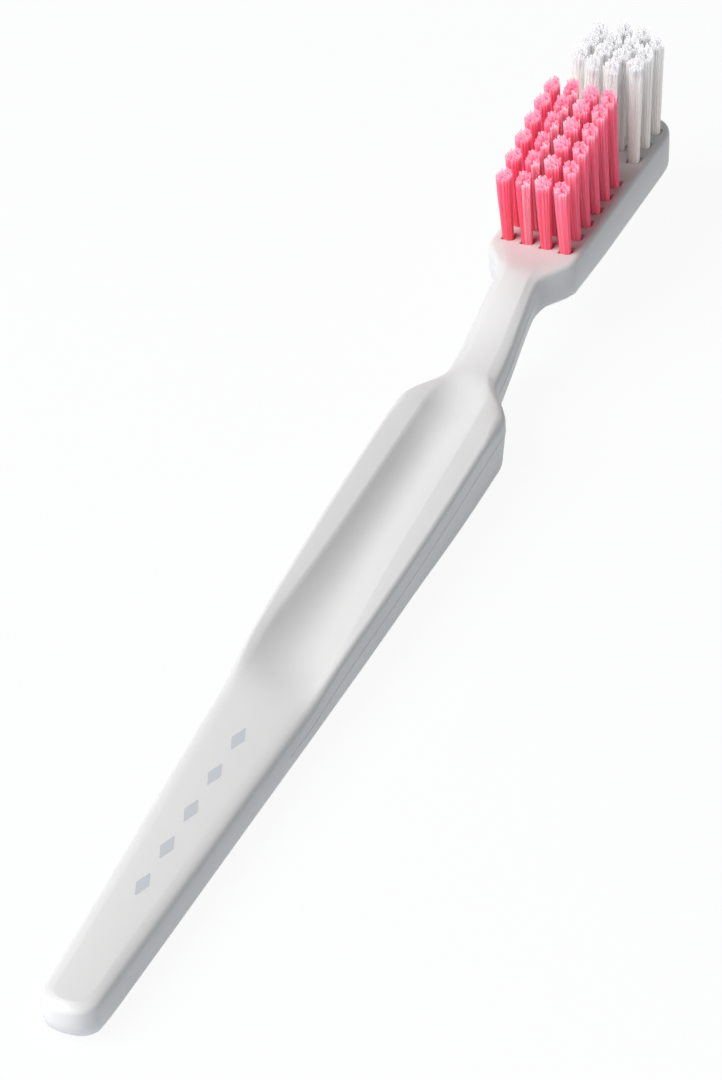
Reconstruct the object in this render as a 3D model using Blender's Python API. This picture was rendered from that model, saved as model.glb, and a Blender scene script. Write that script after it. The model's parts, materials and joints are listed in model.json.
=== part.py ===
"""Denture brush: a moulded one-piece handle and head, with anchored bristle tufts.

X runs from the end of the grip to the tip of the head, Y across, Z up along the bristles.
The brush lies on its back, with its origin under the middle of its bounding box.
"""

import math
import random
from dataclasses import dataclass

import bmesh
import bpy
from mathutils import Matrix, Vector

MM = 0.001

# Grip, from its end to the shoulder
TAIL_LENGTH = 62.0 * MM
RECESS_LENGTH = 55.5 * MM
END_WIDTH = 7.2 * MM
WAIST_WIDTH = 12.2 * MM
SHOULDER_WIDTH = 14.2 * MM
END_HEIGHT = 5.6 * MM
TAIL_HEIGHT = 6.0 * MM
WAIST_HEIGHT = 6.33 * MM
RIM_HEIGHT = 7.5 * MM
SHOULDER_HEIGHT = 9.05 * MM
BACK_HOLLOW = 1.0 * MM
END_FLAT_LENGTH = 6.0 * MM
BELLY_FLAT_LENGTH = 8.0 * MM
BELLY_RISE_LENGTH = 11.5 * MM
END_CORNER = 3.4 * MM
END_LIFT = 0.4 * MM
TAIL_CROWN = 0.25 * MM
SHOULDER_RISE = 0.25 * MM

# Thumb recess in the upper half of the grip
RECESS_DEPTH = 2.3 * MM
RECESS_WIDTH_AT_WAIST = 10.3 * MM
RECESS_WIDTH_AT_SHOULDER = 7.2 * MM
RIM_FALL = 0.15 * MM
RIM_ROUNDING = 0.35 * MM

# Neck between the shoulder and the head
SHOULDER_LENGTH = 7.5 * MM
NECK_LENGTH = 13.6 * MM
FLARE_LENGTH = 6.2 * MM
NECK_WIDTH_AT_SHOULDER = 6.7 * MM
NECK_WIDTH_AT_HEAD = 5.6 * MM
NECK_THICKNESS = 6.8 * MM
NECK_DIP = 0.25 * MM
NECK_CROWN = 0.4 * MM

# Head
HEAD_WIDTH = 11.9 * MM
HEAD_THICKNESS = 6.4 * MM
HEAD_TOP = 14.53 * MM
HEAD_DROP_ANGLE = math.radians(3.1)
FIRST_ROW_OFFSET = 1.2 * MM
TIP_MARGIN = 2.4 * MM
TIP_LENGTH = 5.0 * MM

# Edges, walls and the line where the two halves of the mould met
TAIL_FILLET = 1.1 * MM
END_FILLET = 0.9 * MM
RIM_FILLET = 0.65 * MM
SHOULDER_FILLET = 1.3 * MM
NECK_FILLET = 0.85 * MM
HEAD_FILLET = 0.7 * MM
END_BACK_FILLET = 2.4 * MM
GRIP_BACK_FILLET = 1.4 * MM
NECK_BACK_FILLET = 1.6 * MM
FLARE_BACK_FILLET = 3.0 * MM
HEAD_BACK_FILLET = 1.3 * MM
PARTING_DROP = 2.7 * MM
UPPER_DRAFT = math.radians(1.0)
LOWER_DRAFT = math.radians(4.5)
HEAD_DRAFT = math.radians(1.0)

# Shapes of the curves, as shares of the lengths and heights that they run over
NECK_RISE_SHARES = (
    (-0.22, 0.0), (-0.16, 0.0), (0.0, 0.045), (0.1, 0.12), (0.2, 0.22), (0.35, 0.45), (0.5, 0.7), (0.64, 0.89),
    (0.77, 0.98), (1.0, 1.0),
)
RECESS_DEPTH_SHARES = (
    (-0.06, 0.0), (-0.03, 0.02), (0.02, 0.3), (0.07, 0.66), (0.13, 0.9), (0.22, 1.0), (0.4, 1.0), (0.8, 0.93),
    (1.0, 0.62), (1.06, 0.38), (1.11, 0.08), (1.13, 0.0),
)
RECESS_WIDTH_SHARES = ((0.0, 1.0), (0.08, 0.97), (0.2, 0.83), (0.32, 0.56), (0.45, 0.36), (0.6, 0.22), (1.0, 0.0))
END_POWER = 2.15
TIP_POWER = 2.6

# Tufts: straight columns near the handle, then a staggered group at the tip
PINK_ROWS = 6
PINK_COLUMNS = 4
PINK_PITCH_X = 3.33 * MM
PINK_PITCH_Y = 2.59 * MM
PINK_FIRST_HEIGHT = 10.9 * MM
PINK_LAST_HEIGHT = 15.0 * MM
PINK_RISE_POWER = 1.5
PINK_LEAN = math.radians(-12.0)
GROUP_GAP = 4.25 * MM
WHITE_COLUMN_COUNTS = (3, 4, 4, 3)
WHITE_PITCH_X = 3.6 * MM
WHITE_PITCH_Y = 2.75 * MM
WHITE_FIRST_HEIGHT = 14.6 * MM
WHITE_LAST_HEIGHT = 13.4 * MM
WHITE_INWARD_LEAN = math.radians(1.4)

# One tuft: a few thick strands stand for its filaments, fused to their fold in the hole
TUFT_DIAMETER = 1.66 * MM
TUFT_SPREAD = 0.3 * MM
TUFT_TOP_RISE = 0.6 * MM
TIP_UNEVENNESS = 0.3 * MM
STRAND_SIDES = 3
STRAND_DIAMETER = 0.4 * MM
STRAND_TIP_DIAMETER = 0.3 * MM
INNER_STRANDS = 3
OUTER_STRANDS = 9
INNER_RING_DIAMETER = 0.46 * MM
OUTER_RING_DIAMETER = 1.18 * MM
STRAND_OVERLAP = 0.25 * MM
ROOT_SIDES = 12
ROOT_CLEARANCE = 0.1 * MM
ROOT_TOP_DROP = 0.1 * MM
HOLE_DEPTH = 3.6 * MM

# Anchor: a flat metal plate driven across the fold of each tuft
ANCHOR_WIDTH = 2.3 * MM
ANCHOR_THICKNESS = 0.32 * MM
ANCHOR_HEIGHT = 1.3 * MM
ANCHOR_FLOOR = 0.6 * MM
ANCHOR_TURN = math.radians(-40.0)
ANCHOR_CLEARANCE = 0.06 * MM

CUT_OVERRUN = 0.6 * MM
MERGE_DISTANCE = 0.002 * MM
SHARP_ANGLE = math.radians(40.0)
SEED = 7

# Places along the brush, from the end of the grip
WAIST = TAIL_LENGTH
SHOULDER = WAIST + RECESS_LENGTH
NECK = SHOULDER + SHOULDER_LENGTH
FLARE = NECK + NECK_LENGTH
HEAD = FLARE + FLARE_LENGTH
FIRST_ROW = HEAD + FIRST_ROW_OFFSET
LAST_PINK_ROW = FIRST_ROW + (PINK_ROWS - 1) * PINK_PITCH_X
FIRST_WHITE_ROW = LAST_PINK_ROW + GROUP_GAP
LAST_WHITE_ROW = FIRST_WHITE_ROW + (max(WHITE_COLUMN_COUNTS) - 1) * WHITE_PITCH_X
LENGTH = LAST_WHITE_ROW + TIP_MARGIN
TIP = LENGTH - TIP_LENGTH
BELLY_END = NECK - 0.6 * BELLY_RISE_LENGTH
BELLY_START = BELLY_END - BELLY_FLAT_LENGTH

# Height of the anchors' top over the hole's mouth
ANCHOR_TOP = ANCHOR_FLOOR - HOLE_DEPTH + ANCHOR_HEIGHT


def ease(share):
    """Smooth step from 0 to 1."""
    share = min(max(share, 0.0), 1.0)
    return share * share * (3.0 - 2.0 * share)


def smooth_curve(knots):
    """Monotone cubic through (x, value) knots, level beyond both ends."""
    steps = [(b[1] - a[1]) / (b[0] - a[0]) for a, b in zip(knots, knots[1:])]
    slopes = [steps[0]]
    for before, after in zip(steps, steps[1:]):
        turns = before * after <= 0.0
        slopes.append(0.0 if turns else 2.0 * before * after / (before + after))
    slopes.append(steps[-1])

    def value(x):
        x = min(max(x, knots[0][0]), knots[-1][0])
        index = max(i for i in range(len(steps)) if knots[i][0] <= x or i == 0)
        (x0, low), (x1, high) = knots[index], knots[index + 1]
        width = x1 - x0
        t = (x - x0) / width
        rise = t * t * (3.0 - 2.0 * t)
        bend = t * (1.0 - t) * width
        return low + (high - low) * rise + bend * ((1.0 - t) * slopes[index] - t * slopes[index + 1])

    return value


def along_recess(share):
    return WAIST + share * RECESS_LENGTH


def head_top(x):
    return HEAD_TOP - (x - HEAD) * math.tan(HEAD_DROP_ANGLE)


grip_back = smooth_curve(
    [
        (0.0, END_LIFT),
        (END_CORNER, 0.0),
        (END_CORNER + END_FLAT_LENGTH, 0.0),
        ((END_FLAT_LENGTH + WAIST) / 2, 0.4 * BACK_HOLLOW),
        (WAIST, 0.8 * BACK_HOLLOW),
        (along_recess(0.45), BACK_HOLLOW),
        (BELLY_START, 0.0),
        (BELLY_END, 0.0),
    ]
)
grip_edge = smooth_curve(
    [
        (0.0, END_HEIGHT),
        (0.5 * WAIST, TAIL_HEIGHT),
        (0.8 * WAIST, WAIST_HEIGHT),
        (along_recess(-0.05), WAIST_HEIGHT),
        (along_recess(0.07), (WAIST_HEIGHT + 2 * RIM_HEIGHT) / 3),
        (along_recess(0.15), RIM_HEIGHT),
        (along_recess(0.35), (3 * RIM_HEIGHT + SHOULDER_HEIGHT - SHOULDER_RISE) / 4),
        (along_recess(0.9), SHOULDER_HEIGHT - SHOULDER_RISE),
        (SHOULDER, SHOULDER_HEIGHT),
        (NECK, SHOULDER_HEIGHT - NECK_DIP),
    ]
)
neck_rise = smooth_curve(NECK_RISE_SHARES)
recess_depth_share = smooth_curve(RECESS_DEPTH_SHARES)
recess_width_share = smooth_curve(RECESS_WIDTH_SHARES)
top_fillet = smooth_curve(
    [
        (END_CORNER, END_FILLET),
        (3 * END_CORNER, TAIL_FILLET),
        (along_recess(-0.1), TAIL_FILLET),
        (along_recess(0.15), RIM_FILLET),
        (along_recess(0.9), RIM_FILLET),
        (SHOULDER, SHOULDER_FILLET),
        (NECK, NECK_FILLET),
        (FLARE, NECK_FILLET),
        (HEAD, HEAD_FILLET),
    ]
)
back_fillet = smooth_curve(
    [
        (0.0, END_BACK_FILLET),
        (2 * END_CORNER, GRIP_BACK_FILLET),
        (SHOULDER, GRIP_BACK_FILLET),
        (NECK, NECK_BACK_FILLET),
        (FLARE, NECK_BACK_FILLET),
        ((FLARE + HEAD) / 2, FLARE_BACK_FILLET),
        (HEAD + HEAD_BACK_FILLET, HEAD_BACK_FILLET),
    ]
)


def edge_height(x):
    """Height of the top edge over the table."""
    if x > HEAD:
        return head_top(x)
    neck_height = HEAD_TOP - grip_edge(NECK)
    return grip_edge(x) + neck_height * neck_rise((x - NECK) / (HEAD - NECK))


def back_height(x):
    """Height of the back, which rests on the table at the grip's end and under the belly."""
    if x < BELLY_END:
        return grip_back(x)
    thickness = NECK_THICKNESS + (HEAD_THICKNESS - NECK_THICKNESS) * ease((x - FLARE) / FLARE_LENGTH)
    return (edge_height(x) - thickness) * ease((x - BELLY_END) / BELLY_RISE_LENGTH)


def half_width(x):
    """Half of the width at the parting line, without the rounded ends."""
    if x < WAIST:
        width = END_WIDTH + (WAIST_WIDTH - END_WIDTH) * x / WAIST
    elif x < SHOULDER:
        share = min((x - WAIST) / (0.75 * RECESS_LENGTH), 1.0)
        width = SHOULDER_WIDTH - (SHOULDER_WIDTH - WAIST_WIDTH) * (1.0 - share) ** 2
    elif x < NECK:
        narrowing = SHOULDER_WIDTH - NECK_WIDTH_AT_SHOULDER
        width = SHOULDER_WIDTH - narrowing * ease((x - SHOULDER) / SHOULDER_LENGTH)
    elif x < FLARE:
        taper = NECK_WIDTH_AT_SHOULDER - NECK_WIDTH_AT_HEAD
        width = NECK_WIDTH_AT_SHOULDER - taper * (x - NECK) / NECK_LENGTH
    else:
        width = NECK_WIDTH_AT_HEAD + (HEAD_WIDTH - NECK_WIDTH_AT_HEAD) * ease((x - FLARE) / FLARE_LENGTH)
    return width / 2


def recess_depth(x):
    return RECESS_DEPTH * recess_depth_share((x - WAIST) / RECESS_LENGTH)


def recess_half_width(x):
    spare = RECESS_WIDTH_AT_WAIST - RECESS_WIDTH_AT_SHOULDER
    width = RECESS_WIDTH_AT_SHOULDER + spare * recess_width_share((x - WAIST) / RECESS_LENGTH)
    share = min(max((x - SHOULDER) / SHOULDER_LENGTH, 0.0), 1.0)
    return width / 2 * math.sqrt(1.0 - 0.8 * share**2)


def top_height(x, y):
    """Height of the top face, with its crown, its sloping rims and the dish of the recess."""
    edge = half_width(x)
    into_recess = ease((x - along_recess(-0.08)) / (0.2 * RECESS_LENGTH))
    past_recess = ease((x - SHOULDER) / SHOULDER_LENGTH)
    past_neck = ease((x - FLARE) / FLARE_LENGTH)
    crown = TAIL_CROWN * (1.0 - into_recess) + NECK_CROWN * (past_recess - past_neck)
    height = edge_height(x) + crown * (1.0 - min(abs(y) / edge, 1.0) ** 2)
    border = min(recess_half_width(x), 0.9 * edge)
    across_rim = min(max((edge - abs(y)) / (edge - border), 0.0), 1.0)
    height -= RIM_FALL * across_rim * (into_recess - past_recess)
    dish = 1.0 - (y / border) ** 2
    soft = RIM_ROUNDING / border
    dish = dish if dish > soft else soft * math.exp(dish / soft - 1.0)
    return height - recess_depth(x) * dish


def spaced(start, end, count):
    return [start + (end - start) * index / count for index in range(count)]


def outline():
    """Points (x, y) of the right half of the outline, from the end of the grip to the tip."""
    points = []
    for angle in spaced(0.0, math.pi / 2, 7):
        x = END_CORNER * (1.0 - math.cos(angle) ** (2 / END_POWER))
        points.append((x, -half_width(END_CORNER) * math.sin(angle) ** (2 / END_POWER)))
    stations = spaced(END_CORNER, 3 * END_CORNER, 3)
    stations += spaced(3 * END_CORNER, along_recess(-0.15), 4)
    stations += spaced(along_recess(-0.15), along_recess(0.25), 10)
    stations += spaced(along_recess(0.25), along_recess(0.85), 8)
    stations += spaced(along_recess(0.85), SHOULDER, 5)
    stations += spaced(SHOULDER, NECK, 13)
    stations += spaced(NECK, FLARE, 7)
    stations += spaced(FLARE, HEAD, 8)
    stations += spaced(HEAD, TIP, 3)
    points += [(x, -half_width(x)) for x in stations]
    for angle in spaced(0.0, math.pi / 2, 8):
        x = TIP + TIP_LENGTH * math.sin(angle) ** (2 / TIP_POWER)
        points.append((x, -half_width(TIP) * math.cos(angle) ** (2 / TIP_POWER)))
    points.append((LENGTH, 0.0))
    return points


def wall_rings(x):
    """(inset, height) of the rings up the wall, from the back's flat to the parting line and the top edge."""
    back, edge = back_height(x), edge_height(x)
    round_back, round_top = back_fillet(x), top_fillet(x)
    parting = edge - min(PARTING_DROP, 0.6 * (edge - back))
    draft = LOWER_DRAFT + (HEAD_DRAFT - LOWER_DRAFT) * ease((x - FLARE) / FLARE_LENGTH)
    lower_inset = (parting - back - round_back) * math.tan(draft)
    upper_inset = (edge - round_top - parting) * math.tan(UPPER_DRAFT)
    rings = []
    for angle in (0.0, math.pi / 6, math.pi / 3, math.pi / 2):
        inset = lower_inset + round_back * (1.0 - math.sin(angle))
        rings.append((inset, back + round_back * (1.0 - math.cos(angle))))
    rings.append((0.0, parting))
    for angle in (0.0, math.pi / 6, math.pi / 3, math.pi / 2):
        inset = upper_inset + round_top * (1.0 - math.cos(angle))
        rings.append((inset, edge - round_top * (1.0 - math.sin(angle))))
    return rings


def add_handle(collection, material):
    """Loft closed rings round the outline, from the middle of the back to the middle of the top."""
    right = outline()
    left = [(x, -y) for x, y in reversed(right[1:-1])]
    mesh = bmesh.new()
    columns = []
    for x, y in right + left:
        edge_point = Vector((x, y))
        spine = Vector((min(max(x, END_WIDTH / 2), TIP), 0.0))
        room = (spine - edge_point).length
        inward = (spine - edge_point) / room
        wall = wall_rings(x)
        rim, border = wall[-1][0], room - recess_half_width(x)
        border = max(border, rim + 0.2 * (room - rim))
        crest = min(RIM_ROUNDING, 0.4 * (border - rim))
        points = []
        for inset, height in [(room, wall[0][1]), *wall]:
            place = edge_point + inward * min(inset, room)
            points.append((place.x, place.y, height))
        insets = [border - crest, border, border + crest]
        insets += [border + share * (room - border) for share in (0.25, 0.5, 0.75, 1.0)]
        for inset in insets:
            place = edge_point + inward * inset
            points.append((place.x, place.y, top_height(place.x, place.y)))
        columns.append([mesh.verts.new(point) for point in points])
    for column, after in zip(columns, columns[1:] + columns[:1]):
        for level in range(len(column) - 1):
            mesh.faces.new((column[level], after[level], after[level + 1], column[level + 1]))
    bmesh.ops.remove_doubles(mesh, verts=mesh.verts, dist=MERGE_DISTANCE)
    bmesh.ops.dissolve_degenerate(mesh, dist=MERGE_DISTANCE, edges=mesh.edges)
    bmesh.ops.recalc_face_normals(mesh, faces=mesh.faces)
    return add_object("handle_and_head", mesh, collection, material)


def add_object(name, mesh, collection, material=None):
    """Turn a bmesh into an object about the brush's own origin; one without a material is a cutter."""
    bmesh.ops.translate(mesh, verts=mesh.verts, vec=(-LENGTH / 2, 0.0, 0.0))
    data = bpy.data.meshes.new(name)
    mesh.to_mesh(data)
    mesh.free()
    made = bpy.data.objects.new(name, data)
    collection.objects.link(made)
    if material:
        data.materials.append(material)
        data.shade_smooth()
        data.set_sharp_from_angle(angle=SHARP_ANGLE)
    else:
        made.hide_render = True
        made.display_type = "WIRE"
    return made


def combine(target, other, operation):
    modifier = target.modifiers.new(other.name, "BOOLEAN")
    modifier.operation = operation
    modifier.solver = "EXACT"
    modifier.object = other


@dataclass
class Tuft:
    """One tuft: its name, its group, its hole's place and its filaments' height and leans along X and Y."""

    name: str
    group: str
    x: float
    y: float
    height: float
    lean: float
    side_lean: float

    def frame(self):
        """Frame at the hole's mouth, with Z square to the head's top face."""
        turn = Matrix.Rotation(HEAD_DROP_ANGLE, 4, "Y")
        return Matrix.Translation((self.x, self.y, head_top(self.x))) @ turn


def all_tufts():
    tufts = []
    for row in range(PINK_ROWS):
        share = 1.0 - (1.0 - row / (PINK_ROWS - 1)) ** PINK_RISE_POWER
        height = PINK_FIRST_HEIGHT + share * (PINK_LAST_HEIGHT - PINK_FIRST_HEIGHT)
        for column in range(PINK_COLUMNS):
            x = FIRST_ROW + row * PINK_PITCH_X
            y = (column - (PINK_COLUMNS - 1) / 2) * PINK_PITCH_Y
            name = f"pink_tuft_{row + 1}_{column + 1}"
            tufts.append(Tuft(name, "pink", x, y, height, PINK_LEAN, 0.0))
    longest = max(WHITE_COLUMN_COUNTS)
    middle = (len(WHITE_COLUMN_COUNTS) - 1) / 2
    for column, count in enumerate(WHITE_COLUMN_COUNTS):
        y = (column - middle) * WHITE_PITCH_Y
        side_lean = -WHITE_INWARD_LEAN * (column - middle) / middle
        for row in range(count):
            step = row + (longest - count) / 2
            x = FIRST_WHITE_ROW + step * WHITE_PITCH_X
            height = WHITE_FIRST_HEIGHT + step / (longest - 1) * (WHITE_LAST_HEIGHT - WHITE_FIRST_HEIGHT)
            name = f"white_tuft_{column + 1}_{row + 1}"
            tufts.append(Tuft(name, "white", x, y, height, 0.0, side_lean))
    return tufts


def add_cylinder(mesh, frame, radius, low, high):
    place = frame @ Matrix.Translation((0.0, 0.0, (low + high) / 2))
    bmesh.ops.create_cone(
        mesh,
        cap_ends=True,
        segments=ROOT_SIDES,
        radius1=radius,
        radius2=radius,
        depth=high - low,
        matrix=place,
    )


def add_plate(mesh, frame, gap, high):
    """Upright plate on the anchor's diagonal, as large as the anchor with a gap round it."""
    low = ANCHOR_FLOOR - HOLE_DEPTH - gap
    turn = Matrix.Rotation(ANCHOR_TURN, 4, "Z")
    place = frame @ Matrix.Translation((0.0, 0.0, (low + high) / 2)) @ turn
    size = Matrix.Diagonal((ANCHOR_WIDTH + 2 * gap, ANCHOR_THICKNESS + 2 * gap, high - low, 1.0))
    bmesh.ops.create_cube(mesh, size=1.0, matrix=place @ size)


def add_strand(mesh, tuft, angle, ring_diameter, chance):
    """Tapered strand from the root to its own height, one corner towards the tuft's axis."""
    out = Vector((math.cos(angle), math.sin(angle), 0.0))
    ring = ring_diameter / 2
    across = out.x * ring_diameter / OUTER_RING_DIAMETER
    length = tuft.height + TUFT_TOP_RISE * across + chance.uniform(-TIP_UNEVENNESS, TIP_UNEVENNESS)
    spread = TUFT_SPREAD * ring_diameter / OUTER_RING_DIAMETER
    foot = out * ring - Vector((0.0, 0.0, ROOT_TOP_DROP + STRAND_OVERLAP))
    tip = out * (ring + spread) + Vector((math.tan(tuft.lean), math.tan(tuft.side_lean), 1.0)) * length
    run = tip - foot
    turn = Vector((0.0, 0.0, 1.0)).rotation_difference(run).to_matrix().to_4x4()
    roll = Matrix.Rotation(angle + math.pi / 2, 4, "Z")
    bmesh.ops.create_cone(
        mesh,
        cap_ends=True,
        segments=STRAND_SIDES,
        radius1=STRAND_DIAMETER / 2,
        radius2=STRAND_TIP_DIAMETER / 2,
        depth=run.length,
        matrix=tuft.frame() @ Matrix.Translation((foot + tip) / 2) @ turn @ roll,
    )


def add_tuft(tuft, parts, cutters, material, chance):
    """Root held by its anchor, with the strands fused to it."""
    root = bmesh.new()
    add_cylinder(root, tuft.frame(), TUFT_DIAMETER / 2, ROOT_CLEARANCE - HOLE_DEPTH, -ROOT_TOP_DROP)
    made = add_object(tuft.name, root, parts, material)
    plate = bmesh.new()
    if tuft.group == "white":
        add_plate(plate, tuft.frame(), ANCHOR_CLEARANCE, ANCHOR_TOP + ANCHOR_CLEARANCE)
        combine(made, add_object(f"{tuft.name}_window", plate, cutters), "DIFFERENCE")
    else:
        add_plate(plate, tuft.frame(), 0.0, ANCHOR_TOP)
        combine(made, add_object(f"{tuft.name}_anchor", plate, cutters), "UNION")
    strands = bmesh.new()
    for index in range(INNER_STRANDS):
        add_strand(strands, tuft, 2 * math.pi * index / INNER_STRANDS, INNER_RING_DIAMETER, chance)
    for index in range(OUTER_STRANDS):
        add_strand(strands, tuft, 2 * math.pi * (index + 0.5) / OUTER_STRANDS, OUTER_RING_DIAMETER, chance)
    combine(made, add_object(f"{tuft.name}_strands", strands, cutters), "UNION")


def add_anchor(tuft, parts, material):
    plate = bmesh.new()
    add_plate(plate, tuft.frame(), 0.0, ANCHOR_TOP)
    add_object(tuft.name.replace("tuft", "anchor"), plate, parts, material)


def cut_holes(handle, tufts, cutters):
    """Blind holes for the tufts, and the slits that the anchors cut on their way down."""
    holes, slits = bmesh.new(), bmesh.new()
    for tuft in tufts:
        add_cylinder(holes, tuft.frame(), TUFT_DIAMETER / 2 + ROOT_CLEARANCE, -HOLE_DEPTH, CUT_OVERRUN)
        add_plate(slits, tuft.frame(), ANCHOR_CLEARANCE, CUT_OVERRUN)
    combine(handle, add_object("tuft_holes", holes, cutters), "DIFFERENCE")
    combine(handle, add_object("anchor_slits", slits, cutters), "DIFFERENCE")


def plain_material(name, colour, roughness, metallic=0.0):
    material = bpy.data.materials.new(name)
    material.use_nodes = True
    shader = material.node_tree.nodes["Principled BSDF"]
    shader.inputs["Base Color"].default_value = (*colour, 1.0)
    shader.inputs["Roughness"].default_value = roughness
    shader.inputs["Metallic"].default_value = metallic
    material.diffuse_color = (*colour, 1.0)
    return material


def clear_scene():
    for old in list(bpy.data.objects):
        bpy.data.objects.remove(old)


def new_collection(name):
    collection = bpy.data.collections.new(name)
    bpy.context.scene.collection.children.link(collection)
    return collection


def main():
    clear_scene()
    parts = new_collection("denture_brush")
    cutters = new_collection("denture_brush_cutters")
    plastic = plain_material("moulded_polypropylene", (0.82, 0.82, 0.82), 0.35)
    metal = plain_material("nickel_silver", (0.72, 0.68, 0.58), 0.3, metallic=1.0)
    nylon = {
        "pink": plain_material("pink_nylon", (0.75, 0.05, 0.13), 0.45),
        "white": plain_material("white_nylon", (0.72, 0.70, 0.69), 0.4),
    }
    tufts = all_tufts()
    cut_holes(add_handle(parts, plastic), tufts, cutters)
    chance = random.Random(SEED)
    for tuft in tufts:
        add_tuft(tuft, parts, cutters, nylon[tuft.group], chance)
        if tuft.group == "white":
            add_anchor(tuft, parts, metal)


if __name__ == "__main__":
    main()
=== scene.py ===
"""Looks of a denture brush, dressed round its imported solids: a glossy moulding with nylon tufts, in a studio.

Lengths are in metres, in the frame of the solids. X runs from the end of the grip to the tip of the head,
Y across, and Z up along the bristles. The brush lies on the floor at Z = 0.
"""

import json
import math
import random

import bmesh
import bpy
from mathutils import Matrix, Vector

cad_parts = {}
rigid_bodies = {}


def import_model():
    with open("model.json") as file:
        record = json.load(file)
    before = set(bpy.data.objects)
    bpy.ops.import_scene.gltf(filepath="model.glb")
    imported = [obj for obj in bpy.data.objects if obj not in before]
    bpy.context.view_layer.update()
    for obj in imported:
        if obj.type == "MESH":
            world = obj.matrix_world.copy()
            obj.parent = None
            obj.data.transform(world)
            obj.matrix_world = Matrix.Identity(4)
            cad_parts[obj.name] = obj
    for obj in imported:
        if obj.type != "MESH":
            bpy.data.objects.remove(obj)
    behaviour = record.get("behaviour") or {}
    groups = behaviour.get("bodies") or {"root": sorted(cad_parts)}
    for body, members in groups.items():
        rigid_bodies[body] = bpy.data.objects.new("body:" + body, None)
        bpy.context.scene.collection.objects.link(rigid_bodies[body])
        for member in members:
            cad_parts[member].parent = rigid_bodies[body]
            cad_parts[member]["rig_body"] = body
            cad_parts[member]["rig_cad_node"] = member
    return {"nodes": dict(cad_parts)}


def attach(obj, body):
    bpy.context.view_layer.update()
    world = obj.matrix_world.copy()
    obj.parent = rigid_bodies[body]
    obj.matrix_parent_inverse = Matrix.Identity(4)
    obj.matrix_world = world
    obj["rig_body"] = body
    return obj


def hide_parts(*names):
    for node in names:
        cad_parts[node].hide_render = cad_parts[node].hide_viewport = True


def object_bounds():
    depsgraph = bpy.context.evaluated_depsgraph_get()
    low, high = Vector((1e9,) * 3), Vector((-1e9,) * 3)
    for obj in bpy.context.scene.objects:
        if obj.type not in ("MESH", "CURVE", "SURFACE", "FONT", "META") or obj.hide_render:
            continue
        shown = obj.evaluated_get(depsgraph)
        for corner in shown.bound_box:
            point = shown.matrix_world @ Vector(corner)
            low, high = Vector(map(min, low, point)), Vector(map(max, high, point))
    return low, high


bl_info = {
    "name": "Denture brush",
    "version": (1, 0, 0),
    "blender": (4, 5, 0),
    "location": "View3D > Sidebar > Denture brush",
    "description": "Dresses the solids of a denture brush as moulded plastic and nylon, in a soft studio",
    "category": "Add Mesh",
}

MM = 0.001

# The photograph's view: where the camera looks, from which side, and how the picture is turned
CAMERA_AIM = Vector((-0.2, 0.5, 8.0)) * MM
CAMERA_DISTANCE = 1100.0 * MM
CAMERA_AZIMUTH = math.radians(-156.93)
CAMERA_ELEVATION = math.radians(38.88)
CAMERA_ROLL = math.radians(-0.23)
CAMERA_LENS_MM = 300.0
SENSOR_MM = 36.0

# The moulding, whose recess has crisp rims between RIMS_START_X and RIMS_END_X
MERGE_DISTANCE = 0.001 * MM
SMOOTH_ANGLE = math.radians(40.0)
RIMS_START_X = -33.0 * MM
RIMS_END_X = 28.0 * MM
WEAR_PATCH_SIZE = 6.25 * MM
WEAR_GLOSS_CHANGES = (-0.04, 0.06)
SHRINKAGE_WAVE_SIZE = 11.1 * MM
SHRINKAGE_WAVE_DEPTH = 0.1 * MM
SCATTER_DEPTH = 0.8 * MM

# The fine line that the mould's halves leave where they meet, on both sides of grip and neck. It runs through
# the rings of the solid's loft: points whose X is the same to RING_STEP, at least RING_VERTICES of them.
PARTING_LINE_HEIGHT = 0.03 * MM
PARTING_LINE_START_X = -37.0 * MM
PARTING_LINE_END_X = 49.0 * MM
RING_STEP = 0.01 * MM
RING_VERTICES = 30

# The head's top face, where the tufts stand
HEAD_DROP_ANGLE = math.radians(3.1)
ROOT_DEPTH = 3.5 * MM
ROOT_TOP_DROP = 0.12 * MM

# One filament: where it is cut across, to bend there, and the rise and the width of each step of its tip
FILAMENT_SIDES = 6
FILAMENT_CUT_SHARES = (0.35, 0.7)
TIP_ROUNDING = 0.14 * MM
TIP_SHARES = ((0.6, 0.85), (0.4, 0.6))
FACING_UP = 0.9

# A bundle of filaments, before it is fitted to its tuft. It is hollow but for a slim core, so that light gets
# in as it does between real filaments. Within INNER_SHARE of its radius only tips show, so the ones there are
# short and stand over the core.
BUNDLE_HEIGHT = 13.0 * MM
BUNDLE_FOOT = 0.4 * MM
BUNDLE_RADIUS = 0.69 * MM
BUNDLE_VARIANTS = 4
TOP_SHARE = 0.9
CORE_RADIUS = 0.45 * MM
CORE_SHARE = 0.93
CORE_SPLAY_SHARE = 0.7
INNER_SHARE = 0.66
INNER_START_SHARE = 0.9
GOLDEN_ANGLE = math.pi * (3.0 - math.sqrt(5.0))

# The clumps that a bundle parts into, as shares of the splay and of the unevenness in the settings
CLUMPS = 6
CLUMP_PARTING_SHARE = 0.6
STRAND_PARTING_SHARE = 0.06
CLUMP_RISE_SHARE = 1.4
STRAND_RISE_SHARE = 0.8

# How pale the dye looks, from 0 for the deepest to 1 for the palest, and the saturation at both ends
CLUMP_PALENESS_SHARES = (0.1, 0.9)
STRAND_PALENESS_SHARE = 0.1
CORE_PALENESS_SHARE = 0.5
DEEP_DYE_SATURATION = 1.75
PALE_DYE_SATURATION = 0.62

# How much of the light crosses the nylon, and how much of a lamp's light goes straight on
NYLON_CLEARNESS_SHARE = 0.86
PINK_STRAIGHT_SHARE = 0.56
WHITE_STRAIGHT_SHARE = 0.3

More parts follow.
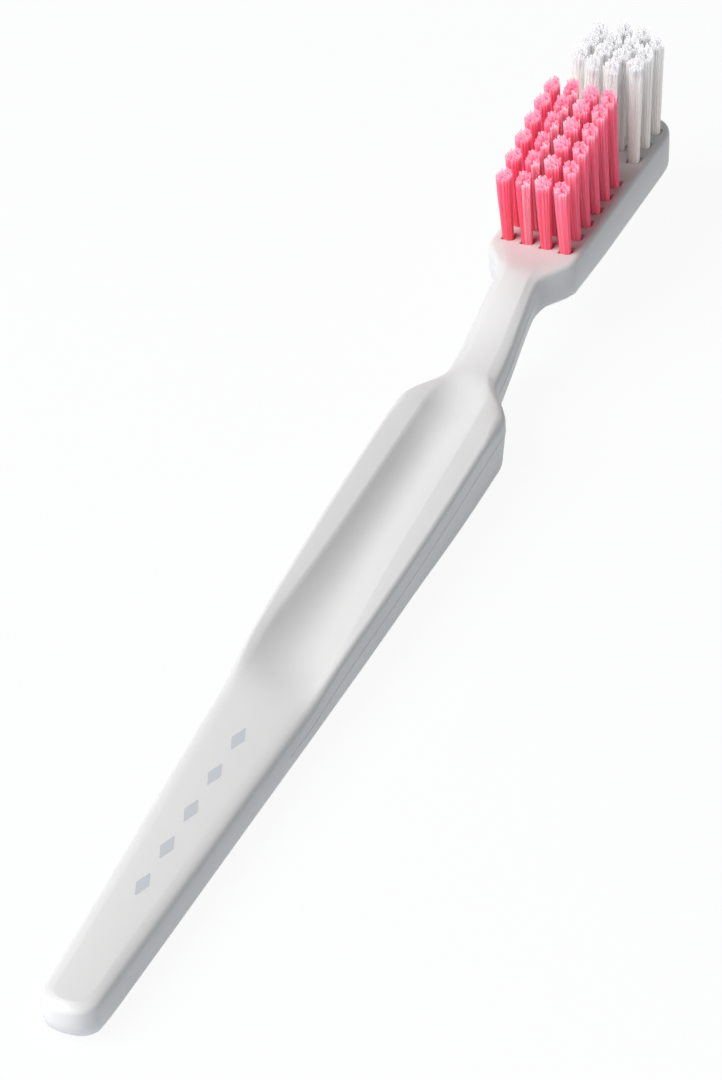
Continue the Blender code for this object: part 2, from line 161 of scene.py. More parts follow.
# The foil on the grip: a row of plain lozenges, pressed on hot
FOIL_CENTRE_X = -53.0 * MM
FOIL_COUNT = 5
FOIL_PITCH = 7.0 * MM
FOIL_LENGTH = 4.4 * MM
FOIL_WIDTH = 1.7 * MM
FOIL_CORNER = FOIL_WIDTH / 10
FOIL_BORDER = FOIL_WIDTH / 8
FOIL_THICKNESS = 0.02 * MM
FOIL_GRAIN_SIZE = 0.4 * MM
FOIL_GRAIN_DEPTH = 0.01 * MM

# The lines that the rolls leave in the anchors' sheet
ROLL_LINE_LENGTH = 1.1 * MM
ROLL_LINE_WIDTH = 0.055 * MM

# The floor's white is mostly its own glow, so that only a soft shadow of the brush shows on it
FLOOR_SIZE = 6000.0 * MM
FLOOR_GLOW_SHARE = 0.93

# The lamps, as seen from the point that the camera looks at
KEY_OFFSET = Vector((-580.0, 480.0, 770.0)) * MM
KEY_SIZE = 900.0 * MM
FRONT_OFFSET = Vector((-1000.0, 80.0, 160.0)) * MM
FRONT_SIZE = 500.0 * MM

# Sockets of a Mix node set to colours, which share their names with others and so go by number
MIX_FACTOR = 0
MIX_FROM = 6
MIX_TO = 7
MIX_RESULT = 2

WHITE = (1.0, 1.0, 1.0, 1.0)

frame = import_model()
CAD_LOW, CAD_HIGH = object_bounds()


def from_hex(colour):
    """Linear RGB of an sRGB hex colour such as "#ECEEF0"."""
    shares = [int(colour[start : start + 2], 16) / 255 for start in (1, 3, 5)]
    return [s / 12.92 if s <= 0.04045 else ((s + 0.055) / 1.055) ** 2.4 for s in shares]


class MouldingSettings(bpy.types.PropertyGroup):
    """Finish of the handle and head."""

    colour: bpy.props.FloatVectorProperty(
        name="Plastic",
        description="Colour of the white polypropylene",
        subtype="COLOR",
        default=from_hex("#DFE0E2"),
    )
    roughness: bpy.props.FloatProperty(
        name="Roughness",
        description="Roughness that the polished mould leaves",
        subtype="FACTOR",
        default=0.32,
        min=0.0,
        max=1.0,
    )
    foil_colour: bpy.props.FloatVectorProperty(
        name="Foil",
        description="Colour of the hot-stamped foil",
        subtype="COLOR",
        default=from_hex("#C3C6CB"),
    )


class FilamentSettings(bpy.types.PropertyGroup):
    """Size and colour of the nylon filaments."""

    diameter: bpy.props.FloatProperty(
        name="Diameter",
        description="Thickness of one filament",
        default=0.27 * MM,
        unit="LENGTH",
    )
    count: bpy.props.IntProperty(
        name="Count",
        description="Filaments in one tuft",
        default=44,
        min=12,
        max=60,
    )
    splay: bpy.props.FloatProperty(
        name="Splay",
        description="How far the outermost tips stand out from the tuft's own width",
        default=0.3 * MM,
        unit="LENGTH",
    )
    unevenness: bpy.props.FloatProperty(
        name="Unevenness",
        description="How much the lengths of neighbouring filaments differ",
        default=0.22 * MM,
        unit="LENGTH",
    )
    cut_slope: bpy.props.FloatProperty(
        name="Cut slope",
        description="Rise of a tuft's cut top from its middle to its far side",
        default=0.55 * MM,
        unit="LENGTH",
    )
    pink: bpy.props.FloatVectorProperty(
        name="Pink",
        description="Colour of the pink nylon",
        subtype="COLOR",
        default=from_hex("#FFCEDE"),
    )
    # Deeper than the pink: painted shade at the foot of a tuft
    pink_shaded_foot: bpy.props.FloatVectorProperty(
        name="Pink foot",
        description="Colour of the pink nylon at the foot of a tuft",
        subtype="COLOR",
        default=from_hex("#FFC0D2"),
    )
    pink_tip: bpy.props.FloatVectorProperty(
        name="Pink tips",
        description="Colour of the pink nylon where its cut ends scatter the light",
        subtype="COLOR",
        default=from_hex("#FFE0EA"),
    )
    white: bpy.props.FloatVectorProperty(
        name="White",
        description="Colour of the white nylon",
        subtype="COLOR",
        default=from_hex("#FEFEFE"),
    )
    # A touch deeper than the white: painted shade at the foot of a tuft
    white_shaded_foot: bpy.props.FloatVectorProperty(
        name="White foot",
        description="Colour of the white nylon at the foot of a tuft",
        subtype="COLOR",
        default=from_hex("#FEFCFB"),
    )
    white_tip: bpy.props.FloatVectorProperty(
        name="White tips",
        description="Colour of the white nylon where its cut ends scatter the light",
        subtype="COLOR",
        default=from_hex("#F8F8F9"),
    )


class StageSettings(bpy.types.PropertyGroup):
    """Floor and lights."""

    floor_colour: bpy.props.FloatVectorProperty(
        name="Floor",
        description="Colour of the paper floor",
        subtype="COLOR",
        default=from_hex("#E8EEF5"),
    )
    key_power: bpy.props.FloatProperty(
        name="Key light",
        description="Power of the large soft light at the upper left",
        unit="POWER",
        default=13.4,
    )
    key_colour: bpy.props.FloatVectorProperty(
        name="Key colour",
        description="Colour of the key light",
        subtype="COLOR",
        default=from_hex("#FFFDFA"),
    )
    front_power: bpy.props.FloatProperty(
        name="Front light",
        description="Power of the weak soft light before the end of the grip",
        unit="POWER",
        default=1.0,
    )
    front_colour: bpy.props.FloatVectorProperty(
        name="Front colour",
        description="Colour of the front light",
        subtype="COLOR",
        default=from_hex("#FFFFFF"),
    )
    fill_colour: bpy.props.FloatVectorProperty(
        name="Fill colour",
        description="Colour of the even light all round",
        subtype="COLOR",
        default=from_hex("#F6F5F4"),
    )
    fill_strength: bpy.props.FloatProperty(
        name="Fill",
        description="Strength of the even light all round",
        default=0.21,
    )


def add_node(material, kind, inputs=None, **settings):
    """Add one node; inputs maps each socket's name or number to a value, or to the socket that feeds it."""
    node = material.node_tree.nodes.new(kind)
    for name, value in settings.items():
        setattr(node, name, value)
    for name, value in (inputs or {}).items():
        if isinstance(value, bpy.types.NodeSocket):
            material.node_tree.links.new(value, node.inputs[name])
        else:
            node.inputs[name].default_value = value
    return node


def new_material(name):
    """Material with nothing but its output, and that output."""
    material = bpy.data.materials.new(name)
    material.use_nodes = True
    material.node_tree.nodes.clear()
    return material, add_node(material, "ShaderNodeOutputMaterial")


def finish_material(material, output, shader):
    """Link the shader to the output, and return the material."""
    material.node_tree.links.new(shader.outputs[0], output.inputs["Surface"])
    return material


def polypropylene(settings):
    """Glossy white plastic, as it leaves a polished mould."""
    material, output = new_material("moulded_polypropylene")
    place = add_node(material, "ShaderNodeTexCoord")
    # Injection moulding copies the wear of the mould: it breaks the gloss up into patches
    patches = add_node(
        material,
        "ShaderNodeTexNoise",
        {"Vector": place.outputs["Object"], "Scale": 1.0 / WEAR_PATCH_SIZE, "Detail": 3.0},
    )
    glossy, dull = (settings.roughness + change for change in WEAR_GLOSS_CHANGES)
    roughness = add_node(
        material,
        "ShaderNodeMapRange",
        {"Value": patches.outputs[0], "To Min": glossy, "To Max": dull},
    )
    # Shrinkage over the thick grip leaves the surface very slightly wavy
    waves = add_node(
        material,
        "ShaderNodeTexNoise",
        {"Vector": place.outputs["Object"], "Scale": 1.0 / SHRINKAGE_WAVE_SIZE, "Detail": 1.0},
    )
    bump = add_node(
        material,
        "ShaderNodeBump",
        {"Height": waves.outputs[0], "Strength": 0.12, "Distance": SHRINKAGE_WAVE_DEPTH},
    )
    # A little light scatters under the skin of the milky plastic, which softens its edges
    shader = add_node(
        material,
        "ShaderNodeBsdfPrincipled",
        {
            "Base Color": (*settings.colour, 1.0),
            "Roughness": roughness.outputs[0],
            "Normal": bump.outputs[0],
            "IOR": 1.49,
            "Subsurface Weight": 0.12,
            "Subsurface Radius": (1.0, 1.0, 1.0),
            "Subsurface Scale": SCATTER_DEPTH,
        },
    )
    return finish_material(material, output, shader)


def nylon(name, foot, body, tip, straight_share):
    """Extruded nylon filament: clear enough to glow where light passes, paler at its cut end, and deepened by
    painted shade towards its foot.
    """
    material, output = new_material(name)
    along = add_node(material, "ShaderNodeAttribute", attribute_name="along")
    paleness = add_node(material, "ShaderNodeAttribute", attribute_name="paleness")
    # Painted light and shade: the colour runs from a deeper, painted-shade foot to a paler body, standing in
    # for light that enters at the cut ends and runs down inside the filament, so the dye looks paler towards
    # them
    painted_shade_along = add_node(
        material,
        "ShaderNodeMix",
        {MIX_FACTOR: along.outputs["Fac"], MIX_FROM: (*foot, 1.0), MIX_TO: (*body, 1.0)},
        data_type="RGBA",
    )
    # The ground ends are rough and scatter the light, so the last millimetre turns pale
    end = add_node(
        material,
        "ShaderNodeMapRange",
        {"Value": along.outputs["Fac"], "From Min": TOP_SHARE, "From Max": 1.0},
        interpolation_type="SMOOTHSTEP",
    )
    colour = add_node(
        material,
        "ShaderNodeMix",
        {MIX_FACTOR: end.outputs[0], MIX_FROM: painted_shade_along.outputs[MIX_RESULT], MIX_TO: (*tip, 1.0)},
        data_type="RGBA",
    )
    # The closer the filaments of a clump lie, the more dye the light crosses, so some clumps look deeper
    dye = add_node(
        material,
        "ShaderNodeMapRange",
        {"Value": paleness.outputs["Fac"], "To Min": DEEP_DYE_SATURATION, "To Max": PALE_DYE_SATURATION},
    )
    shade = add_node(
        material,
        "ShaderNodeHueSaturation",
        {"Color": colour.outputs[MIX_RESULT], "Saturation": dye.outputs[0]},
    )
    surface = add_node(
        material,
        "ShaderNodeBsdfPrincipled",
        {"Base Color": (*tip, 1.0), "Roughness": 0.4, "IOR": 1.53},
    )
    # Most of the light crosses the clear nylon and takes the dye's colour, while the skin's sheen stays pale
    passing = add_node(material, "ShaderNodeBsdfTranslucent", {"Color": shade.outputs[0]})
    mixed = add_node(
        material,
        "ShaderNodeMixShader",
        {0: NYLON_CLEARNESS_SHARE, 1: surface.outputs[0], 2: passing.outputs[0]},
    )
    # A thin clear filament also lets part of a lamp's light straight through, tinted by the dye, so its
    # neighbours glow and the shade behind a tuft isn't black
    path = add_node(material, "ShaderNodeLightPath")
    straight = add_node(
        material,
        "ShaderNodeMath",
        {0: path.outputs["Is Shadow Ray"], 1: straight_share},
        operation="MULTIPLY",
    )
    clear = add_node(material, "ShaderNodeBsdfTransparent", {"Color": shade.outputs[0]})
    filament = add_node(
        material,
        "ShaderNodeMixShader",
        {0: straight.outputs[0], 1: mixed.outputs[0], 2: clear.outputs[0]},
    )
    return finish_material(material, output, filament)


def stamped_foil(settings):
    """Hot-stamped aluminium foil: bright metal, dimmed a little by the grain of the plastic under it."""
    material, output = new_material("hot_stamped_foil")
    place = add_node(material, "ShaderNodeTexCoord")
    grain = add_node(
        material,
        "ShaderNodeTexNoise",
        {"Vector": place.outputs["Object"], "Scale": 1.0 / FOIL_GRAIN_SIZE, "Detail": 2.0},
    )
    bump = add_node(
        material,
        "ShaderNodeBump",
        {"Height": grain.outputs[0], "Strength": 0.15, "Distance": FOIL_GRAIN_DEPTH},
    )
    shader = add_node(
        material,
        "ShaderNodeBsdfPrincipled",
        {
            "Base Color": (*settings.foil_colour, 1.0),
            "Metallic": 1.0,
            "Roughness": 0.28,
            "Normal": bump.outputs[0],
        },
    )
    return finish_material(material, output, shader)


def nickel_silver():
    """Rolled nickel silver sheet, as the anchors are stamped from: bright, with fine lines from the rolls."""
    material, output = new_material("nickel_silver")
    place = add_node(material, "ShaderNodeTexCoord")
    lengthwise = 1.0 / ROLL_LINE_LENGTH
    stretch = add_node(
        material,
        "ShaderNodeMapping",
        {"Vector": place.outputs["Object"], "Scale": (lengthwise, lengthwise, 1.0 / ROLL_LINE_WIDTH)},
    )
    lines = add_node(
        material,
        "ShaderNodeTexNoise",
        {"Vector": stretch.outputs[0], "Scale": 1.0, "Detail": 2.0},
    )
    roughness = add_node(
        material,
        "ShaderNodeMapRange",
        {"Value": lines.outputs[0], "To Min": 0.22, "To Max": 0.38},
    )
    shader = add_node(
        material,
        "ShaderNodeBsdfPrincipled",
        {
            "Base Color": (*from_hex("#CFC8B6"), 1.0),
            "Metallic": 1.0,
            "Roughness": roughness.outputs[0],
        },
    )
    return finish_material(material, output, shader)


def seen_directly(material):
    """Socket that is 1 for rays from the camera, off gloss and through nylon, and 0 for all others."""
    rays = add_node(material, "ShaderNodeLightPath")
    seen = rays.outputs["Is Camera Ray"]
    for kind in ("Is Glossy Ray", "Is Transmission Ray"):
        either = add_node(material, "ShaderNodeMath", {0: seen, 1: rays.outputs[kind]}, operation="MAXIMUM")
        seen = either.outputs[0]
    return seen


def floor_paper(settings):
    """Seamless studio paper, which the camera sees as white but for the object's shadow."""
    material, output = new_material("studio_paper")
    # Uncoated paper is matt, so nothing mirrors in it
    shader = add_node(
        material,
        "ShaderNodeBsdfPrincipled",
        {"Base Color": (*settings.floor_colour, 1.0), "Roughness": 0.9, "Specular IOR Level": 0.0},
    )
    glow = add_node(material, "ShaderNodeEmission", {"Color": WHITE, "Strength": 1.0})
    share = add_node(
        material,
        "ShaderNodeMath",
        {0: seen_directly(material), 1: FLOOR_GLOW_SHARE},
        operation="MULTIPLY",
    )
    mixed = add_node(
        material,
        "ShaderNodeMixShader",
        {0: share.outputs[0], 1: shader.outputs[0], 2: glow.outputs[0]},
    )
    return finish_material(material, output, mixed)


def white_room(settings):
    """World of even, faintly warm light, which is plain white to the camera, to gloss and through nylon."""
    world = bpy.data.worlds.new("white_room")
    world.use_nodes = True
    world.node_tree.nodes.clear()
    output = add_node(world, "ShaderNodeOutputWorld")
    seen = seen_directly(world)
    fill = add_node(
        world,
        "ShaderNodeBackground",
        {"Color": (*settings.fill_colour, 1.0), "Strength": settings.fill_strength},
    )
    white = add_node(world, "ShaderNodeBackground", {"Color": WHITE, "Strength": 1.0})
    mixed = add_node(world, "ShaderNodeMixShader", {0: seen, 1: fill.outputs[0], 2: white.outputs[0]})
    world.node_tree.links.new(mixed.outputs[0], output.inputs["Surface"])
    return world


def deselect_all():
    """Leave edit mode, with nothing selected."""
    if bpy.context.object and bpy.context.object.mode != "OBJECT":
        bpy.ops.object.mode_set(mode="OBJECT")
    bpy.ops.object.select_all(action="DESELECT")


def select_only(*objects):
    """Select these objects, with the first one active."""
    deselect_all()
    for each in objects:
        each.select_set(True)
    bpy.context.view_layer.objects.active = objects[0]


def select_parts(piece, wanted, kind="verts"):
    """In edit mode, select the vertices or faces that wanted says yes to."""
    bpy.ops.mesh.select_all(action="DESELECT")
    bpy.ops.mesh.select_mode(type="VERT" if kind == "verts" else "FACE")
    mesh = bmesh.from_edit_mesh(piece.data)
    for part in getattr(mesh, kind):
        if wanted(part):
            part.select_set(True)
    mesh.select_flush_mode()
    bmesh.update_edit_mesh(piece.data)


def dress(piece, name, material, slot, *nodes):
    """Name a finished piece, give it its material, and let it stand for its nodes; the slot is not used."""
    piece.name = name
    piece.data.name = name
    piece.data.materials.clear()
    piece.data.materials.append(material)
    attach(piece, "root")
    if nodes:
        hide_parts(*nodes)


def merged_copy(node):
    """Copy of a node of the frame, with its loose triangles merged and its marks as a node taken off."""
    select_only(frame["nodes"][node])
    bpy.ops.object.duplicate()
    copy = bpy.context.object
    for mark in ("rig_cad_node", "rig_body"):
        del copy[mark]
    bpy.ops.object.mode_set(mode="EDIT")
    bpy.ops.mesh.select_all(action="SELECT")
    bpy.ops.mesh.remove_doubles(threshold=MERGE_DISTANCE)
    bpy.ops.object.mode_set(mode="OBJECT")
    bpy.ops.mesh.customdata_custom_splitnormals_clear()
    return copy


def widest_line(handle, side):
    """Points of the moulding's widest line on one side, one on each ring that it was lofted through."""
    rings = {}
    for vertex in handle.data.vertices:
        rings.setdefault(round(vertex.co.x / RING_STEP), []).append(vertex.co)
    whole = [ring for _, ring in sorted(rings.items()) if len(ring) >= RING_VERTICES]
    points = [max(ring, key=lambda point: side * point.y) for ring in whole]
    return [point.copy() for point in points if PARTING_LINE_START_X < point.x < PARTING_LINE_END_X]


def model_parting_line(handle, side):
    """Fine bead half sunk in the moulding, along its widest line."""
    points = widest_line(handle, side)
    curve = bpy.data.curves.new("parting_line", "CURVE")
    curve.dimensions = "3D"
    curve.bevel_depth = PARTING_LINE_HEIGHT
    curve.bevel_resolution = 1
    curve.use_fill_caps = True
    spline = curve.splines.new("POLY")
    spline.points.add(len(points) - 1)
    for place, point in zip(spline.points, points):
        place.co = (*point, 1.0)
    line = bpy.data.objects.new("parting_line", curve)
    bpy.context.scene.collection.objects.link(line)
    select_only(line)
    bpy.ops.object.convert(target="MESH")
    return bpy.context.object


class DENTURE_BRUSH_OT_handle(bpy.types.Operator):
    """Dress the handle and head as one glossy moulding"""

    bl_idname = "denture_brush.handle"
    bl_label = "Handle and head"

    def execute(self, context):
        settings = context.scene.brush_moulding
        handle = merged_copy("handle_and_head")
        lines = [model_parting_line(handle, side) for side in (-1, 1)]
        select_only(handle, *lines)
        bpy.ops.object.join()
        bpy.ops.object.shade_smooth_by_angle(angle=SMOOTH_ANGLE)
        # The rims and flats of the recess look flat up to their edges
        rims = handle.vertex_groups.new(name="recess_rims")
        inside = [point.index for point in handle.data.vertices if RIMS_START_X < point.co.x < RIMS_END_X]
        rims.add(inside, 1.0, "REPLACE")
        flat_rims = handle.modifiers.new("flat_rims", "WEIGHTED_NORMAL")
        flat_rims.keep_sharp = True
        flat_rims.vertex_group = rims.name
        bpy.ops.object.modifier_apply(modifier=flat_rims.name)
        dress(handle, "handle_moulding", polypropylene(settings), "moulded_polypropylene", "handle_and_head")
        return {"FINISHED"}


def model_lozenge():
    """Flat lozenge with rounded corners and a border, cut fine enough to lie on the curved grip."""
    deselect_all()
    bpy.ops.mesh.primitive_circle_add(vertices=4, radius=FOIL_LENGTH / 2, fill_type="NGON")
    bpy.ops.object.mode_set(mode="EDIT")
    bpy.ops.transform.resize(value=(1.0, FOIL_WIDTH / FOIL_LENGTH, 1.0))
    bpy.ops.mesh.bevel(offset=FOIL_CORNER, segments=4, affect="VERTICES")
    bpy.ops.mesh.inset(thickness=FOIL_BORDER)
    bpy.ops.mesh.select_all(action="SELECT")
    bpy.ops.mesh.quads_convert_to_tris()
    bpy.ops.mesh.subdivide(number_cuts=2)
    bpy.ops.object.mode_set(mode="OBJECT")
    return bpy.context.object


class DENTURE_BRUSH_OT_foil(bpy.types.Operator):
    """Stamp a row of plain silver lozenges on the grip"""

    bl_idname = "denture_brush.foil"
    bl_label = "Foil lozenges"

    def execute(self, context):
        handle = bpy.data.objects["handle_moulding"]
        lozenge = model_lozenge()
        row = []
        for index in range(FOIL_COUNT):
            select_only(lozenge)
            bpy.ops.object.duplicate()
            shape = bpy.context.object
            shape.location.x = FOIL_CENTRE_X + (index - (FOIL_COUNT - 1) / 2) * FOIL_PITCH
            shape.location.z = CAD_HIGH.z
            row.append(shape)
        bpy.data.objects.remove(lozenge)
        select_only(*row)
        bpy.ops.object.join()
        foil = bpy.context.object
        bpy.ops.object.transform_apply(location=True, rotation=True, scale=True)
        # The row hangs above the brush until here, and comes straight down on the grip
        drop = foil.modifiers.new("on_the_grip", "SHRINKWRAP")
        drop.target = handle
        drop.wrap_method = "PROJECT"
        drop.use_project_z = True
        drop.use_negative_direction = True
        drop.use_positive_direction = False
        bpy.ops.object.modifier_apply(modifier=drop.name)
        layer = foil.modifiers.new("foil", "SOLIDIFY")
        layer.thickness = FOIL_THICKNESS
        layer.offset = 1.0
        bpy.ops.object.modifier_apply(modifier=layer.name)
        bpy.ops.object.shade_smooth_by_angle(angle=SMOOTH_ANGLE)
        dress(foil, "foil_lozenges", stamped_foil(context.scene.brush_moulding), "moulded_polypropylene")
        return {"FINISHED"}


def model_filament(settings, foot):
    """One straight filament with a rounded tip, on the tuft's axis, with its foot at the height given."""
    deselect_all()
    length = BUNDLE_HEIGHT - foot
    bpy.ops.mesh.primitive_cylinder_add(
        vertices=FILAMENT_SIDES,
        radius=settings.diameter / 2,
        depth=length,
        end_fill_type="NGON",
        location=(0.0, 0.0, BUNDLE_HEIGHT - length / 2),
    )
    filament = bpy.context.object
    bpy.ops.object.transform_apply(location=True, rotation=False, scale=False)
    bpy.ops.object.mode_set(mode="EDIT")
    for share in FILAMENT_CUT_SHARES:
        bpy.ops.mesh.select_all(action="SELECT")
        bpy.ops.mesh.bisect(plane_co=(0.0, 0.0, foot + share * length), plane_no=(0.0, 0.0, 1.0))
    select_parts(filament, lambda face: face.normal.z > FACING_UP, "faces")
    for rise, width in TIP_SHARES:
        bpy.ops.mesh.extrude_region_move(TRANSFORM_OT_translate={"value": (0.0, 0.0, rise * TIP_ROUNDING)})
        bpy.ops.transform.resize(value=(width, width, 1.0))
    bpy.ops.object.mode_set(mode="OBJECT")
    bpy.ops.object.shade_smooth_by_angle(angle=SMOOTH_ANGLE)
    # How far up the bundle a point lies, which the material turns into painted shade towards the foot and the
    # pale cut end
    along = filament.data.attributes.new("along", "FLOAT", "POINT")
    for vertex, value in zip(filament.data.vertices, along.data):
        value.value = max(vertex.co.z, 0.0) / BUNDLE_HEIGHT
    filament.data.attributes.new("paleness", "FLOAT", "POINT")
    return filament


def set_paleness(piece, share):
    """Set how pale the dye of a filament looks."""
    for value in piece.data.attributes["paleness"].data:
        value.value = share


def model_core(filament, splay):
    """Body of filaments in the middle of a tuft, packed so close that nothing is seen between them."""
    select_only(filament)
    bpy.ops.object.duplicate()
    core = bpy.context.object
    widening = 2 * CORE_RADIUS / core.dimensions.x
    bpy.ops.transform.resize(value=(widening, widening, CORE_SHARE))
    bpy.ops.object.transform_apply(location=False, rotation=False, scale=True)
    bpy.ops.object.mode_set(mode="EDIT")
    select_parts(core, lambda vertex: vertex.co.z > TOP_SHARE * BUNDLE_HEIGHT)
    flare = 1.0 + splay / CORE_RADIUS
    bpy.ops.transform.resize(
        value=(flare, flare, 1.0),
        use_proportional_edit=True,
        proportional_edit_falloff="LINEAR",
        proportional_size=BUNDLE_HEIGHT,
    )
    bpy.ops.object.mode_set(mode="OBJECT")
    set_paleness(core, CORE_PALENESS_SHARE)
    return core


def model_bundle(filament, inner, settings, chance):
    """Filaments packed into a hole's width, in a few clumps that part slightly towards their tips."""
    directions = [Vector((chance.uniform(-1.0, 1.0), chance.uniform(-1.0, 1.0), 0.0)) for _ in range(CLUMPS)]
    parting = [direction * CLUMP_PARTING_SHARE * settings.splay for direction in directions]
    rises = [chance.uniform(-CLUMP_RISE_SHARE, CLUMP_RISE_SHARE) * settings.unevenness for _ in range(CLUMPS)]
    paleness = [chance.uniform(*CLUMP_PALENESS_SHARES) for _ in range(CLUMPS)]
    strands = []
    # A golden angle between filaments fills the round bundle evenly, and each clump is a sector of it
    for index in range(settings.count):
        angle = index * GOLDEN_ANGLE
        share = math.sqrt((index + 0.5) / settings.count)
        foot = Vector((math.cos(angle), math.sin(angle), 0.0)) * share * BUNDLE_RADIUS
        clump = int(CLUMPS * (angle / (2.0 * math.pi) % 1.0))
        outward = foot.normalized() * share * settings.splay + parting[clump]
        outward.x += chance.gauss(0.0, STRAND_PARTING_SHARE) * settings.splay
        outward.y += chance.gauss(0.0, STRAND_PARTING_SHARE) * settings.splay
        rise = rises[clump] + chance.uniform(-STRAND_RISE_SHARE, STRAND_RISE_SHARE) * settings.unevenness
        rise += share * math.cos(angle) * settings.cut_slope
        select_only(filament if share > INNER_SHARE else inner)
        bpy.ops.object.duplicate()
        strand = bpy.context.object
        strand.location = foot
        lean = Vector((outward.x, outward.y, BUNDLE_HEIGHT))
        strand.rotation_euler = lean.to_track_quat("Z", "Y").to_euler()
        strand.scale.z = 1.0 + rise / BUNDLE_HEIGHT
        change = chance.uniform(-STRAND_PALENESS_SHARE, STRAND_PALENESS_SHARE)
        set_paleness(strand, paleness[clump] + change)
        strands.append(strand)
    strands.append(model_core(filament, CORE_SPLAY_SHARE * settings.splay))
    select_only(*strands)
    bpy.ops.object.join()
    bpy.ops.object.transform_apply(location=True, rotation=True, scale=True)
    return bpy.context.object


def tuft_place(node):
    """Place and tilt of a tuft hole's mouth, and the middle of the tips from there, read off the solid."""
    tilt = Matrix.Rotation(HEAD_DROP_ANGLE, 4, "Y")
    points = [tilt.inverted() @ vertex.co for vertex in frame["nodes"][node].data.vertices]
    lowest = min(point.z for point in points)
    ring = [point for point in points if point.z < lowest + ROOT_TOP_DROP]
    foot = sum(ring, Vector()) / len(ring)
    mouth = Vector((foot.x, foot.y, lowest + ROOT_DEPTH))
    # A strand of the solid is straight, so its only points well above the head are those of its tip
    tips = [point - mouth for point in points if point.z > mouth.z + ROOT_DEPTH]
    return tilt @ Matrix.Translation(mouth), sum(tips, Vector()) / len(tips)


def model_tuft(bundle, node):
    """Bundle fitted to its tuft's height and lean, standing on the root that its solid has in the hole."""
    place, tip = tuft_place(node)
    select_only(bundle)
    bpy.ops.object.duplicate()
    tuft = bpy.context.object
    tuft.scale.z = tip.z / BUNDLE_HEIGHT
    bpy.ops.object.transform_apply(location=True, rotation=True, scale=True)
    bpy.ops.object.mode_set(mode="EDIT")
    select_parts(tuft, lambda vertex: vertex.co.z > TOP_SHARE * tip.z)
    bpy.ops.transform.translate(
        value=(tip.x, tip.y, 0.0),
        use_proportional_edit=True,
        proportional_edit_falloff="LINEAR",
        proportional_size=tip.z,
    )
    bpy.ops.object.mode_set(mode="OBJECT")
    tuft.matrix_world = place
    root = merged_copy(node)
    bpy.ops.object.mode_set(mode="EDIT")
    bpy.ops.mesh.select_all(action="SELECT")
    bpy.ops.mesh.bisect(
        plane_co=place @ Vector((0.0, 0.0, -ROOT_TOP_DROP)),
        plane_no=place.to_3x3() @ Vector((0.0, 0.0, 1.0)),
        use_fill=True,
        clear_outer=True,
    )
    bpy.ops.object.mode_set(mode="OBJECT")
    # New attributes hold zeros, so a root has the foot's colour with its painted shade, at its deepest
    for name in ("along", "paleness"):
        root.data.attributes.new(name, "FLOAT", "POINT")
    select_only(root, tuft)
    bpy.ops.object.join()
    return bpy.context.object


def model_tufts(context, group, material):
    """All tufts of one colour, each made from one of a few bundles in turn."""
    settings = context.scene.brush_filaments
    chance = random.Random(group)
    filament = model_filament(settings, -BUNDLE_FOOT)
    inner = model_filament(settings, INNER_START_SHARE * BUNDLE_HEIGHT)
    bundles = [model_bundle(filament, inner, settings, chance) for _ in range(BUNDLE_VARIANTS)]
    nodes = sorted(name for name in frame["nodes"] if name.startswith(f"{group}_tuft"))
    for index, node in enumerate(nodes):
        tuft = model_tuft(bundles[index % BUNDLE_VARIANTS], node)
        dress(tuft, node.replace("tuft", "filaments"), material, f"{group}_nylon", node)
    for spare in (filament, inner, *bundles):
        bpy.data.objects.remove(spare)


class DENTURE_BRUSH_OT_pink_tufts(bpy.types.Operator):
    """Model the filaments of the pink tufts"""

    bl_idname = "denture_brush.pink_tufts"
    bl_label = "Pink tufts"

    def execute(self, context):
        settings = context.scene.brush_filaments
        colours = (settings.pink_shaded_foot, settings.pink, settings.pink_tip)
        model_tufts(context, "pink", nylon("pink_nylon", *colours, PINK_STRAIGHT_SHARE))
        return {"FINISHED"}


class DENTURE_BRUSH_OT_white_tufts(bpy.types.Operator):
    """Model the filaments of the white tufts"""

    bl_idname = "denture_brush.white_tufts"
    bl_label = "White tufts"

    def execute(self, context):
        settings = context.scene.brush_filaments
        colours = (settings.white_shaded_foot, settings.white, settings.white_tip)
        model_tufts(context, "white", nylon("white_nylon", *colours, WHITE_STRAIGHT_SHARE))
        return {"FINISHED"}


class DENTURE_BRUSH_OT_anchors(bpy.types.Operator):
    """Give the hidden anchors of the white tufts their metal"""

    bl_idname = "denture_brush.anchors"
    bl_label = "Anchors"

    def execute(self, context):
        metal = nickel_silver()
        for name, node in frame["nodes"].items():
            if name.startswith("white_anchor"):
                node.material_slots[0].material = metal
        return {"FINISHED"}


def add_area_light(name, offset, size, power, colour):
    """Round soft light that faces the point the camera looks at, from an offset."""
    lamp = bpy.data.lights.new(name, "AREA")
    lamp.shape = "DISK"
    lamp.size = size
    lamp.energy = power
    lamp.color = colour
    light = bpy.data.objects.new(name, lamp)
    light.location = CAMERA_AIM + offset
    light.rotation_euler = (-offset).to_track_quat("-Z", "Y").to_euler()
    bpy.context.scene.collection.objects.link(light)


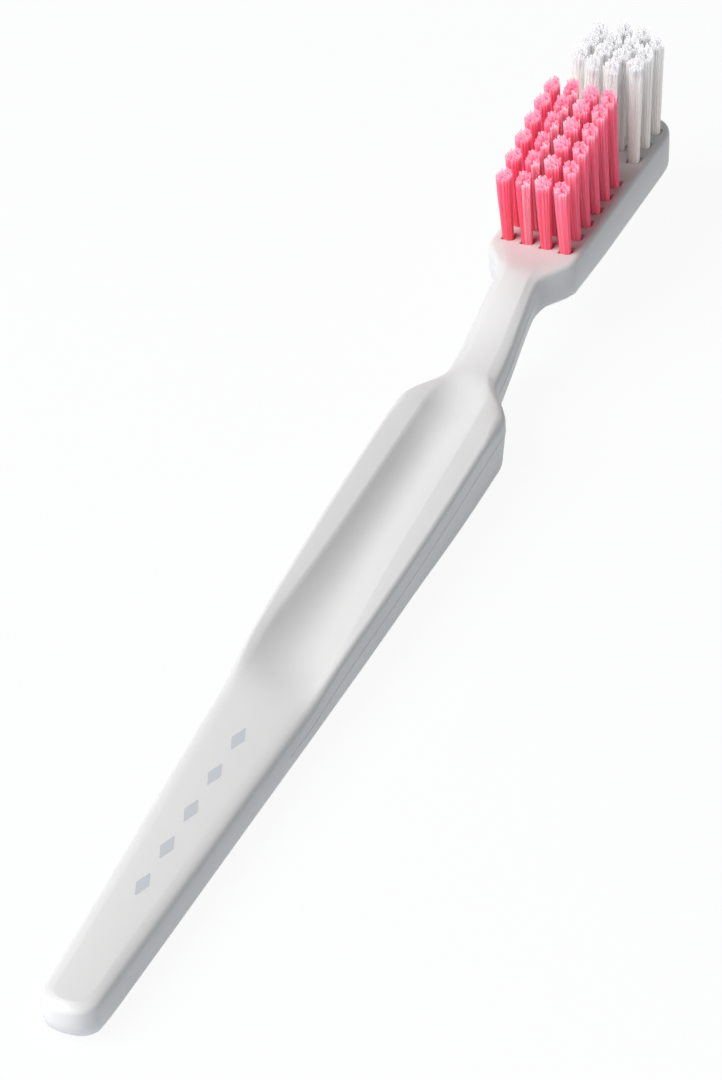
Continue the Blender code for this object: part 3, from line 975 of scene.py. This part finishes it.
class DENTURE_BRUSH_OT_stage(bpy.types.Operator):
    """Lay the floor, hang the lights and set up the camera"""

    bl_idname = "denture_brush.stage"
    bl_label = "Floor, lights and camera"

    def execute(self, context):
        settings = context.scene.brush_stage
        deselect_all()
        bpy.ops.mesh.primitive_plane_add(size=FLOOR_SIZE)
        floor = context.object
        floor.name = "studio_floor"
        floor.data.materials.append(floor_paper(settings))

        context.scene.world = white_room(settings)
        add_area_light("key_light", KEY_OFFSET, KEY_SIZE, settings.key_power, settings.key_colour)
        add_area_light("front_light", FRONT_OFFSET, FRONT_SIZE, settings.front_power, settings.front_colour)

        camera_data = bpy.data.cameras.new("photo_view")
        camera_data.lens = CAMERA_LENS_MM
        camera_data.sensor_width = SENSOR_MM
        camera = bpy.data.objects.new("photo_view", camera_data)
        level = Vector((math.cos(CAMERA_AZIMUTH), math.sin(CAMERA_AZIMUTH), 0.0)) * math.cos(CAMERA_ELEVATION)
        back = level + Vector((0.0, 0.0, math.sin(CAMERA_ELEVATION)))
        camera.location = CAMERA_AIM + back * CAMERA_DISTANCE
        aim = (-back).to_track_quat("-Z", "Y").to_matrix() @ Matrix.Rotation(CAMERA_ROLL, 3, "Z")
        camera.rotation_euler = aim.to_euler()
        context.scene.collection.objects.link(camera)
        context.scene.camera = camera
        context.scene.view_settings.view_transform = "Standard"
        return {"FINISHED"}


class DENTURE_BRUSH_PT_panel(bpy.types.Panel):
    """Lists the brush's pieces and their settings"""

    bl_idname = "DENTURE_BRUSH_PT_panel"
    bl_label = "Denture brush"
    bl_space_type = "VIEW_3D"
    bl_region_type = "UI"
    bl_category = "Denture brush"

    def draw(self, context):
        for operator in OPERATORS:
            self.layout.operator(operator.bl_idname)
        for group in SETTINGS:
            box = self.layout.box()
            settings = getattr(context.scene, group)
            for name in settings.__annotations__:
                box.prop(settings, name)


OPERATORS = (
    DENTURE_BRUSH_OT_handle,
    DENTURE_BRUSH_OT_foil,
    DENTURE_BRUSH_OT_pink_tufts,
    DENTURE_BRUSH_OT_white_tufts,
    DENTURE_BRUSH_OT_anchors,
    DENTURE_BRUSH_OT_stage,
)
SETTINGS = {
    "brush_moulding": MouldingSettings,
    "brush_filaments": FilamentSettings,
    "brush_stage": StageSettings,
}


def register():
    for group in SETTINGS.values():
        bpy.utils.register_class(group)
    for operator in OPERATORS:
        bpy.utils.register_class(operator)
    bpy.utils.register_class(DENTURE_BRUSH_PT_panel)
    for name, group in SETTINGS.items():
        setattr(bpy.types.Scene, name, bpy.props.PointerProperty(type=group))


def unregister():
    for name in SETTINGS:
        delattr(bpy.types.Scene, name)
    bpy.utils.unregister_class(DENTURE_BRUSH_PT_panel)
    for operator in reversed(OPERATORS):
        bpy.utils.unregister_class(operator)
    for group in reversed(SETTINGS.values()):
        bpy.utils.unregister_class(group)


def main():
    register()
    bpy.ops.denture_brush.handle()
    bpy.ops.denture_brush.foil()
    bpy.ops.denture_brush.pink_tufts()
    bpy.ops.denture_brush.white_tufts()
    bpy.ops.denture_brush.anchors()
    bpy.ops.denture_brush.stage()


if __name__ == "__main__":
    main()
